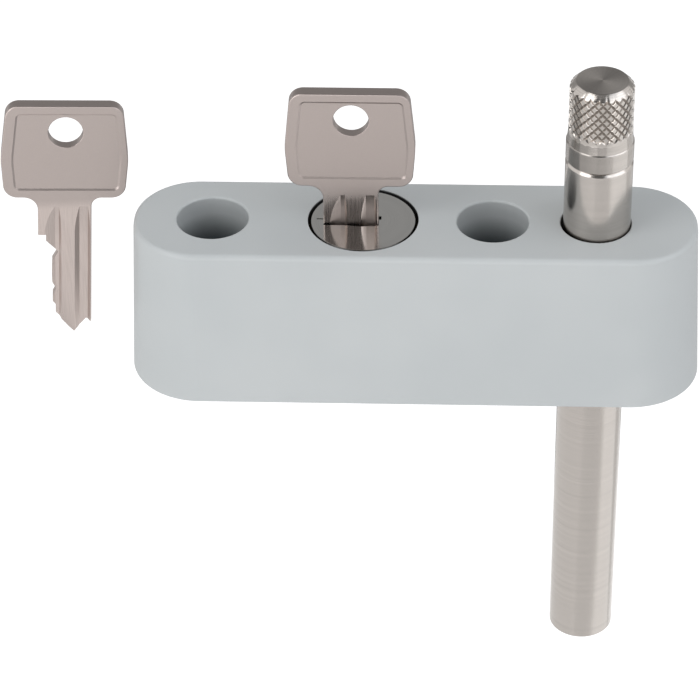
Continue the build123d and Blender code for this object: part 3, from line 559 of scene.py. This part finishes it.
def darken(tree, mask, share):
    """Takes a material's colour down to a share of itself where the mask is 1; used here to paint
    shade, and the dark between painted highlights.
    """
    base = tree.nodes["Principled BSDF"].inputs["Base Color"]
    colour = base.links[0].from_socket
    darker = tree.nodes.new("ShaderNodeVectorMath")
    darker.operation = "SCALE"
    darker.inputs["Scale"].default_value = share
    tree.links.new(colour, darker.inputs[0])
    tree.links.new(mix_colours(tree, mask, colour, darker.outputs[0]), base)


def plated_key(settings, name, low, high):
    """Nickel plated key: streaks along the milled blade, rougher down in its grooves, and soft
    tumbled grain on the bow."""
    material, tree, shader, coordinates = new_material(name, metallic=1.0)
    split = tree.nodes.new("ShaderNodeSeparateXYZ")
    tree.links.new(coordinates, split.inputs[0])
    blade_top = high.z - settings.bow_height
    blade = map_range(
        tree, split.outputs["Z"], blade_top - settings.blade_blend, blade_top, 1.0, 0.0
    )
    streaks = place_group(
        tree, brushed_lines_group(), coordinates, Scale=settings.blade_scale,
        Stretch=settings.streak_stretch,
    )
    grain = place_group(
        tree, speckle_group(), coordinates, Scale=settings.bow_scale, Detail=2.0
    )
    both = mix_numbers(tree, blade, grain, streaks)
    dark, light = (
        mix_colours(
            tree, blade, [channel * bow_share for channel in settings.bow_colour],
            [channel * blade_share for channel in settings.blade_colour],
        )
        for bow_share, blade_share in ((BOW_SHADE, BLADE_SHADE), (1.0, 1.0))
    )
    tree.links.new(follow_colour(tree, both, dark, light), shader.inputs["Base Color"])
    on_bow, on_blade, in_groove = (
        follow_roughness(tree, both, roughness, PLATED_SPREAD, COLOUR_SPAN)
        for roughness in (
            settings.bow_roughness, settings.blade_roughness, settings.floor_roughness
        )
    )
    from_middle = math_node(
        tree, "ABSOLUTE", math_node(tree, "SUBTRACT", split.outputs["Y"], (low.y + high.y) / 2)
    )
    half = (high.y - low.y) / 2
    deep = map_range(tree, from_middle, half - settings.floor_depth, half, 1.0, 0.0)
    groove = math_node(tree, "MULTIPLY", deep, blade)
    outside = mix_numbers(tree, blade, on_bow, on_blade)
    tree.links.new(mix_numbers(tree, groove, outside, in_groove), shader.inputs["Roughness"])
    add_bump(tree, shader, both, settings.plate_height)
    return material


def plain_metal(name, colour, roughness, scale=900.0, grain_height=0.004 * MM):
    """Plated, drawn or pressed metal with a soft mottled grain."""
    material, tree, shader, coordinates = new_material(name, metallic=1.0)
    grain = place_group(tree, speckle_group(), coordinates, Scale=scale, Detail=3.0)
    dark = [channel * GRAIN_SHADE for channel in colour]
    tree.links.new(follow_colour(tree, grain, dark, colour), shader.inputs["Base Color"])
    tree.links.new(
        follow_roughness(tree, grain, roughness, GRAIN_SPREAD), shader.inputs["Roughness"]
    )
    add_bump(tree, shader, grain, grain_height)
    return material


def moulded(name, colour, roughness, scale=1200.0, grain_height=0.006 * MM):
    """Moulded plastic or rubber with a fine grain."""
    material, tree, shader, coordinates = new_material(name)
    grain = place_group(tree, speckle_group(), coordinates, Scale=scale, Detail=2.0)
    light = [channel * MOULDED_LIGHT for channel in colour]
    tree.links.new(follow_colour(tree, grain, colour, light), shader.inputs["Base Color"])
    tree.links.new(
        follow_roughness(tree, grain, roughness, MOULDED_SPREAD), shader.inputs["Roughness"]
    )
    add_bump(tree, shader, grain, grain_height)
    return material


def dress(names, material):
    """Gives CAD nodes one material."""
    for name in names:
        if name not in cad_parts:
            raise RuntimeError(f"the frame has no node {name}")
        for material_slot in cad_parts[name].material_slots:
            material_slot.material = material


def shape_in_millimetres(sizes):
    """The knob's settings with all lengths in millimetres, with its height and widest radius."""
    lengths = {
        name: getattr(sizes, name) * MM_PER_M for name in sizes.__annotations__
        if name != "columns"
    }
    return SimpleNamespace(
        columns=sizes.columns, top=(KNOB_HIGH.z - KNOB_LOW.z) * MM_PER_M,
        collar_radius=(KNOB_HIGH.x - KNOB_LOW.x) / 2 * MM_PER_M, **lengths,
    )


def object_from(bm, name):
    """A new object at the origin from a bmesh, in the scene's collection."""
    mesh = bpy.data.meshes.new(name)
    bm.to_mesh(mesh)
    bm.free()
    made = bpy.data.objects.new(name, mesh)
    bpy.context.scene.collection.objects.link(made)
    return made


# Name, brightness setting, middle, tilt about X in degrees, width and depth in metres.
CARDS = (
    ("back_card", "back_card", (0.0, 1.0, 0.95), 90.0, 2.6, 2.0),
    ("dark_card", "dark_card", (0.01, -0.85, 0.78), 48.0, 0.9, 0.84),
    ("ceiling_card", "ceiling_card", (0.0, 0.0, 1.3), 0.0, 2.0, 1.3),
    ("front_card", "front_card", (0.145, -0.75, -0.36), 0.0, 0.53, 1.0),
    ("side_card", "side_card", (-0.66, -0.1, -0.36), 0.0, 1.08, 1.3),
    ("right_card", "right_card", (0.75, 0.45, -0.35), 0.0, 0.9, 0.6),
    ("rear_card", "back_card", (0.0, 1.1, -0.36), 0.0, 2.4, 1.4),
)
# Name, middle, width and height in metres, power in watts, colour. Each faces the object.
LAMPS = (
    ("front_soft_box", (-0.35, -1.06, 0.0), 1.2, 0.5, 3.7, WHITE),
    ("right_soft_box", (0.72, -0.29, 0.69), 0.9, 0.9, 3.1, COOL_WHITE),
    ("left_soft_box", (-0.68, -0.47, 0.8), 0.5, 0.8, 3.1, WHITE),
)


class ROD_LOCK_OT_stage(bpy.types.Operator):
    """Makes the camera, the white floor and sky, and the soft lamps"""

    bl_idname = "rod_lock.stage"
    bl_label = "Make Stage"

    def execute(self, context):
        settings = context.scene.rod_lock.stage
        self.make_camera(context, settings)
        self.make_floor(settings)
        self.make_sky(context, settings)
        self.make_cards(settings)
        self.make_lamps()
        return {"FINISHED"}

    def make_camera(self, context, settings):
        azimuth, elevation, roll = settings.azimuth, settings.elevation, settings.roll
        back = Vector(
            (sin(azimuth) * cos(elevation), -cos(azimuth) * cos(elevation), sin(elevation))
        )
        side = Vector((cos(azimuth), sin(azimuth), 0.0))
        up = back.cross(side)
        right = cos(roll) * side + sin(roll) * up
        top = cos(roll) * up - sin(roll) * side
        turn = Matrix((right, top, back)).transposed().to_4x4()
        camera = bpy.data.objects.new("photo_camera", bpy.data.cameras.new("photo_camera"))
        camera.data.lens = settings.lens
        camera.matrix_world = Matrix.Translation(settings.camera_place) @ turn
        context.scene.collection.objects.link(camera)
        context.scene.camera = camera

    def make_floor(self, settings):
        bm = bmesh.new()
        bmesh.ops.create_grid(
            bm, x_segments=1, y_segments=1, size=settings.floor_reach,
            matrix=Matrix.Translation((0.0, 0.0, CAD_BOX[0][2] - settings.floor_drop)),
        )
        floor = object_from(bm, "white_floor")
        material, tree, shader, _ = new_material("white_floor")
        shader.inputs["Base Color"].default_value = (*settings.floor_colour, 1.0)
        shader.inputs["Roughness"].default_value = settings.floor_roughness
        shader.inputs["Specular IOR Level"].default_value = settings.floor_gloss
        shader.inputs["Emission Color"].default_value = (*WHITE, 1.0)
        tree.links.new(
            map_range(tree, seen_directly(tree), 0.0, 1.0, 0.0, settings.floor_glow),
            shader.inputs["Emission Strength"],
        )
        floor.data.materials.append(material)

    def make_sky(self, context, settings):
        world = bpy.data.worlds.new("white_sky")
        world.use_nodes = True
        tree = world.node_tree
        background = tree.nodes["Background"]
        background.inputs["Color"].default_value = (*WHITE, 1.0)
        tree.links.new(
            map_range(tree, seen_directly(tree), 0.0, 1.0, settings.sky_level, 1.0),
            background.inputs["Strength"],
        )
        context.scene.world = world

    def make_cards(self, settings):
        """Plain cards round the object, as in a studio, which only gloss sees."""
        for name, level, place, tilt, width, depth in CARDS:
            bm = bmesh.new()
            bmesh.ops.create_grid(
                bm, x_segments=1, y_segments=1, size=1.0,
                matrix=Matrix.Diagonal((width / 2, depth / 2, 1.0, 1.0)),
            )
            bmesh.ops.rotate(
                bm, verts=bm.verts, cent=(0.0, 0.0, 0.0),
                matrix=Matrix.Rotation(radians(tilt), 3, "X"),
            )
            bmesh.ops.translate(bm, vec=place, verts=bm.verts)
            card = object_from(bm, name)
            material, _, shader, _ = new_material(name)
            shader.inputs["Base Color"].default_value = (0.0, 0.0, 0.0, 1.0)
            shader.inputs["Specular IOR Level"].default_value = 0.0
            shader.inputs["Emission Color"].default_value = (*WHITE, 1.0)
            shader.inputs["Emission Strength"].default_value = getattr(settings, level)
            card.data.materials.append(material)
            card.visible_camera = False
            card.visible_diffuse = False
            card.visible_shadow = False
            card.visible_transmission = False

    def make_lamps(self):
        for name, place, width, height, power, colour in LAMPS:
            data = bpy.data.lights.new(name, "AREA")
            data.shape = "RECTANGLE"
            data.size = width
            data.size_y = height
            data.energy = power
            data.color = colour
            lamp = bpy.data.objects.new(name, data)
            lamp.location = place
            lamp.rotation_euler = (-Vector(place)).to_track_quat("-Z", "Y").to_euler()
            bpy.context.scene.collection.objects.link(lamp)


def seen_directly(tree):
    """1 for rays from the camera, from gloss and through glass, which see the plain white."""
    path = tree.nodes.new("ShaderNodeLightPath")
    return math_node(
        tree, "MAXIMUM", path.outputs["Is Camera Ray"],
        math_node(
            tree, "MAXIMUM", path.outputs["Is Glossy Ray"], path.outputs["Is Transmission Ray"]
        ),
    )


class ROD_LOCK_OT_housing(bpy.types.Operator):
    """Powder coats the housing"""

    bl_idname = "rod_lock.housing"
    bl_label = "Coat Housing"

    def execute(self, context):
        dress(["housing"], powder_coat(context.scene.rod_lock.paint))
        return {"FINISHED"}


class ROD_LOCK_OT_base(bpy.types.Operator):
    """Zinc plates the base plate, the locking slide, the drive and the screws"""

    bl_idname = "rod_lock.base"
    bl_label = "Plate Base and Drive"

    def execute(self, context):
        metals = context.scene.rod_lock.metals
        zinc = plain_metal("zinc_plate", metals.zinc_colour, roughness=0.34)
        dress(
            ["base_plate", "base_plate_screws", "cylinder_screws", "cam_screw", "drive_cam",
             "drive_pin", "plug_clip", "locking_slide", "rod_guide_key"], zinc,
        )
        return {"FINISHED"}


class ROD_LOCK_OT_cylinder(bpy.types.Operator):
    """Finishes the lock cylinder: polished disc with painted shade round its rim, brass sleeve and
    wafers, springs
    """

    bl_idname = "rod_lock.cylinder"
    bl_label = "Finish Cylinder"

    def execute(self, context):
        metals = context.scene.rod_lock.metals
        disc, around = turned_steel(
            "polished_nickel_disc", metals.disc_colour, metals.disc_roughness, DISC_X,
            metals.disc_height, lines=6000.0, slow_lines=500.0,
        )
        tree = disc.node_tree
        # Painted shade: the disc's outer rim is darkened, as the shade in the gap round it.
        past_top = DISC_HIGH.z + MM
        face = place_group(
            tree, bore_group(), around, High=past_top + MM, Low=past_top,
            Radius=(DISC_HIGH.x - DISC_LOW.x) / 2 - metals.disc_rim_shade_width,
        )
        darken(tree, math_node(tree, "SUBTRACT", 1.0, face), metals.rim_shade_share)
        dress(["cylinder_plug"], disc)
        springs = sorted(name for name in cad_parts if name.startswith("wafer_spring_"))
        wafers = sorted(
            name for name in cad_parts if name.startswith("wafer_") and name not in springs
        )
        dress(wafers, plain_metal("drawn_brass", metals.brass_colour, roughness=0.3))
        sleeve = plain_metal("oiled_brass", metals.sleeve_colour, roughness=0.45)
        dress(["cylinder_sleeve"], sleeve)
        wire = plain_metal("spring_wire", metals.spring_colour, roughness=0.28, scale=3000.0)
        dress(springs, wire)
        return {"FINISHED"}


class ROD_LOCK_OT_keys(bpy.types.Operator):
    """Nickel plates the key in the lock and the spare key"""

    bl_idname = "rod_lock.keys"
    bl_label = "Plate Keys"

    def execute(self, context):
        metals = context.scene.rod_lock.metals
        dress(["key"], plated_key(metals, "nickel_plated_key", KEY_LOW, KEY_HIGH))
        spare = plated_key(metals, "nickel_plated_spare_key", SPARE_LOW, SPARE_HIGH)
        dress(["spare_key"], spare)
        return {"FINISHED"}


class ROD_LOCK_OT_rod(bpy.types.Operator):
    """Finishes the turned rod, its plastic bushes and its rubber ring"""

    bl_idname = "rod_lock.rod"
    bl_label = "Finish Rod and Bushes"

    def execute(self, context):
        metals = context.scene.rod_lock.metals
        steel, _ = turned_steel(
            "turned_rod_steel", metals.rod_colour, metals.rod_roughness, ROD_X, metals.line_height
        )
        dress(["bolt_rod"], steel)
        plastic = moulded("black_bush_plastic", metals.plastic_colour, roughness=0.5)
        dress(["rod_bush_lower", "rod_bush_upper"], plastic)
        rubber = moulded("ring_rubber", metals.rubber_colour, roughness=0.7)
        dress(["rod_friction_ring"], rubber)
        return {"FINISHED"}


class ROD_LOCK_OT_knob(bpy.types.Operator):
    """Builds the rod's knurled knob and sets it on the rod"""

    bl_idname = "rod_lock.knob"
    bl_label = "Build Knurled Knob"

    def execute(self, context):
        sizes = context.scene.rod_lock.knob
        metals = context.scene.rod_lock.metals
        shape = shape_in_millimetres(sizes)
        bm = bmesh.new()
        self.make_knurl(bm, shape)
        self.make_turned_ends(bm, shape)
        bmesh.ops.recalc_face_normals(bm, faces=bm.faces)
        self.round_edges(bm, shape)
        bmesh.ops.scale(bm, vec=(MM, MM, MM), verts=bm.verts)
        bmesh.ops.translate(bm, vec=(ROD_X, 0.0, KNOB_LOW.z), verts=bm.verts)
        for face in bm.faces:
            face.smooth = True
        knob = object_from(bm, "knurled_knob")
        knob.data.set_sharp_from_angle(angle=SHARP_ANGLE)
        flat_faces = knob.modifiers.new("flat_faces", "WEIGHTED_NORMAL")
        flat_faces.keep_sharp = True
        knob.data.materials.append(self.knurled_steel(sizes, metals))
        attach(knob, "bolt")
        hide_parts("rod_knob")
        return {"FINISHED"}

    def knurled_steel(self, sizes, metals):
        """Turned steel with painted shade down in the knurl's grooves and its bore, and painted
        highlight fans on the top face and the collar.
        """
        steel, around = turned_steel(
            "knurled_steel", metals.rod_colour, metals.rod_roughness, ROD_X, metals.line_height
        )
        tree = steel.node_tree
        foot = KNOB_HIGH.z - sizes.top_chamfer
        # Painted shade down in the knurl's grooves and in the bore.
        grooves = place_group(
            tree, bore_group(), around, Radius=sizes.waist_radius - sizes.groove_depth / 2,
            High=foot, Low=foot - sizes.edge_rounding,
        )
        darken(tree, grooves, metals.groove_shade_share)
        # Painted highlight: fans of light painted on the top face; the mask also lets them onto the
        # collar, which lies outside the waist radius.
        top_face = place_group(
            tree, bore_group(), around, Radius=sizes.waist_radius,
            High=KNOB_HIGH.z - sizes.edge_rounding, Low=KNOB_HIGH.z - 2 * sizes.edge_rounding,
        )
        fans = place_group(tree, fans_group(), around, Turn=metals.painted_fan_turn)
        above = math_node(tree, "SUBTRACT", 1.0, top_face)
        darken(tree, math_node(tree, "MULTIPLY", fans, above), metals.painted_fan_share)
        return steel

    def levels(self, shape):
        """Heights above the joint: knurl's bottom, chamfer's foot, knurl's top."""
        chamfer_foot = shape.top - shape.top_chamfer
        return shape.knurl_bottom, chamfer_foot, chamfer_foot + shape.groove_depth

    def make_knurl(self, bm, shape):
        """One diamond, spun into a ring, stacked in rows and trimmed."""
        waist, depth, height = shape.waist_radius, shape.groove_depth, shape.diamond_height
        bottom, chamfer_foot, top = self.levels(shape)
        half_turn = pi / shape.columns
        root = waist - depth
        corners = [
            bm.verts.new((root * cos(angle), root * sin(angle), z))
            for angle, z in (
                (-half_turn, 0.0), (0.0, -height / 2), (half_turn, 0.0), (0.0, height / 2)
            )
        ]
        diamond = bm.faces.new(corners)
        diamond.normal_update()
        bmesh.ops.inset_individual(
            bm, faces=[diamond], thickness=shape.groove_half_width, depth=depth,
            use_even_offset=True,
        )
        bmesh.ops.spin(
            bm, geom=bm.verts[:] + bm.edges[:] + bm.faces[:], cent=(0.0, 0.0, 0.0),
            axis=(0.0, 0.0, 1.0), angle=2 * (pi - half_turn), steps=shape.columns - 1,
            use_duplicate=True,
        )
        ring = bm.verts[:] + bm.edges[:] + bm.faces[:]
        bmesh.ops.translate(bm, vec=(0.0, 0.0, bottom), verts=bm.verts)
        rows = int((top - bottom) / (height / 2)) + 2
        for row in range(1, rows):
            copied = bmesh.ops.duplicate(bm, geom=ring)["geom"]
            verts = [part for part in copied if isinstance(part, bmesh.types.BMVert)]
            bmesh.ops.rotate(
                bm, verts=verts, cent=(0.0, 0.0, 0.0),
                matrix=Matrix.Rotation(row * half_turn, 3, "Z"),
            )
            bmesh.ops.translate(bm, vec=(0.0, 0.0, row * height / 2), verts=verts)
        bmesh.ops.remove_doubles(bm, verts=bm.verts, dist=MERGE_GAP)
        for level in (bottom + shape.run_out, bottom + shape.run_out / 2, chamfer_foot):
            bmesh.ops.bisect_plane(
                bm, geom=bm.verts[:] + bm.edges[:] + bm.faces[:], plane_co=(0.0, 0.0, level),
                plane_no=(0.0, 0.0, 1.0), dist=CUT_GAP,
            )
        for level, normal in ((bottom, -1.0), (top, 1.0)):
            bmesh.ops.bisect_plane(
                bm, geom=bm.verts[:] + bm.edges[:] + bm.faces[:], plane_co=(0.0, 0.0, level),
                plane_no=(0.0, 0.0, normal), clear_outer=True, dist=CUT_GAP,
            )
        for vert in bm.verts:
            radius = hypot(vert.co.x, vert.co.y)
            least = waist - depth * min(1.0, max(0.0, (vert.co.z - bottom) / shape.run_out))
            most = waist - max(0.0, vert.co.z - chamfer_foot)
            wanted = min(max(radius, least), most)
            vert.co.x *= wanted / radius
            vert.co.y *= wanted / radius

    def extrude_ring(self, bm, edges, radius, height):
        """Extrudes a ring of edges to another radius and height; returns the new ring."""
        made = bmesh.ops.extrude_edge_only(bm, edges=edges)["geom"]
        verts = [part for part in made if isinstance(part, bmesh.types.BMVert)]
        old_radius = max(hypot(vert.co.x, vert.co.y) for vert in verts)
        share = radius / old_radius
        bmesh.ops.scale(bm, vec=(share, share, 1.0), verts=verts)
        bmesh.ops.translate(bm, vec=(0.0, 0.0, height - verts[0].co.z), verts=verts)
        chosen = set(verts)
        return [
            part for part in made
            if isinstance(part, bmesh.types.BMEdge) and part.verts[0] in chosen
            and part.verts[1] in chosen
        ]

    def close_ring(self, bm, edges, height):
        """Closes a ring of edges at a point on the axis."""
        made = bmesh.ops.extrude_edge_only(bm, edges=edges)["geom"]
        verts = [part for part in made if isinstance(part, bmesh.types.BMVert)]
        bmesh.ops.pointmerge(bm, verts=verts, merge_co=(0.0, 0.0, height))

    def make_turned_ends(self, bm, shape):
        """Plain collar with its bore under the knurl, and the chamfered top over it."""
        collar, step, chamfer = shape.collar_radius, shape.collar_step, shape.joint_chamfer
        slope_top = shape.collar_height + shape.collar_slope
        boundary = [edge for edge in bm.edges if edge.is_boundary]
        bottom, _, knurl_top = self.levels(shape)
        middle = (bottom + knurl_top) / 2
        low_ring = [edge for edge in boundary if edge.verts[0].co.z < middle]
        high_ring = [edge for edge in boundary if edge.verts[0].co.z > middle]
        for radius, height in (
            (shape.waist_radius, slope_top), (collar - step, shape.collar_height),
            (collar, shape.collar_height - step), (collar, chamfer), (collar - chamfer, 0.0),
            (shape.bore_radius, 0.0), (shape.bore_radius, shape.bore_depth),
        ):
            low_ring = self.extrude_ring(bm, low_ring, radius, height)
        self.close_ring(bm, low_ring, shape.bore_depth)
        top_radius = shape.waist_radius - shape.top_chamfer
        high_ring = self.extrude_ring(bm, high_ring, top_radius, shape.top)
        self.close_ring(bm, high_ring, shape.top)

    def round_edges(self, bm, shape):
        """Small roundings on the turned edges that catch the light."""
        past_bore = (shape.bore_radius + shape.waist_radius) / 2
        turned = (0.0, shape.joint_chamfer, shape.top)
        edges = [
            edge for edge in bm.edges
            if abs(edge.verts[0].co.z - edge.verts[1].co.z) < MERGE_GAP
            and any(abs(edge.verts[0].co.z - level) < MERGE_GAP for level in turned)
            and all(hypot(vert.co.x, vert.co.y) > past_bore for vert in edge.verts)
        ]
        bmesh.ops.bevel(
            bm, geom=edges, offset=shape.edge_rounding, offset_type="OFFSET",
            affect="EDGES", segments=2, profile=0.5, material=-1, clamp_overlap=True,
        )


class ROD_LOCK_PT_panel(bpy.types.Panel):
    """Lists the steps and settings of the rod lock"""

    bl_idname = "ROD_LOCK_PT_panel"
    bl_label = "Rod Lock"
    bl_space_type = "VIEW_3D"
    bl_region_type = "UI"
    bl_category = "Rod Lock"

    def draw(self, context):
        layout = self.layout
        for step in STEPS:
            layout.operator(step.bl_idname)
        settings = context.scene.rod_lock
        for group in (settings.knob, settings.paint, settings.metals, settings.stage):
            box = layout.box()
            for name in group.__annotations__:
                box.prop(group, name)


STEPS = (
    ROD_LOCK_OT_stage, ROD_LOCK_OT_housing, ROD_LOCK_OT_base, ROD_LOCK_OT_cylinder,
    ROD_LOCK_OT_keys, ROD_LOCK_OT_rod, ROD_LOCK_OT_knob,
)
CLASSES = (
    RodLockKnobSizes, RodLockPaint, RodLockMetals, RodLockStage, RodLockSettings, *STEPS,
    ROD_LOCK_PT_panel,
)


def register():
    """Registers the classes and the scene's settings."""
    for item in CLASSES:
        bpy.utils.register_class(item)
    bpy.types.Scene.rod_lock = PointerProperty(type=RodLockSettings)


def unregister():
    """Takes the settings and the classes away again."""
    del bpy.types.Scene.rod_lock
    for item in reversed(CLASSES):
        bpy.utils.unregister_class(item)


def main():
    register()
    bpy.context.scene.view_settings.view_transform = "Standard"
    bpy.ops.rod_lock.stage()
    bpy.ops.rod_lock.housing()
    bpy.ops.rod_lock.base()
    bpy.ops.rod_lock.cylinder()
    bpy.ops.rod_lock.keys()
    bpy.ops.rod_lock.rod()
    bpy.ops.rod_lock.knob()


if __name__ == "__main__":
    main()
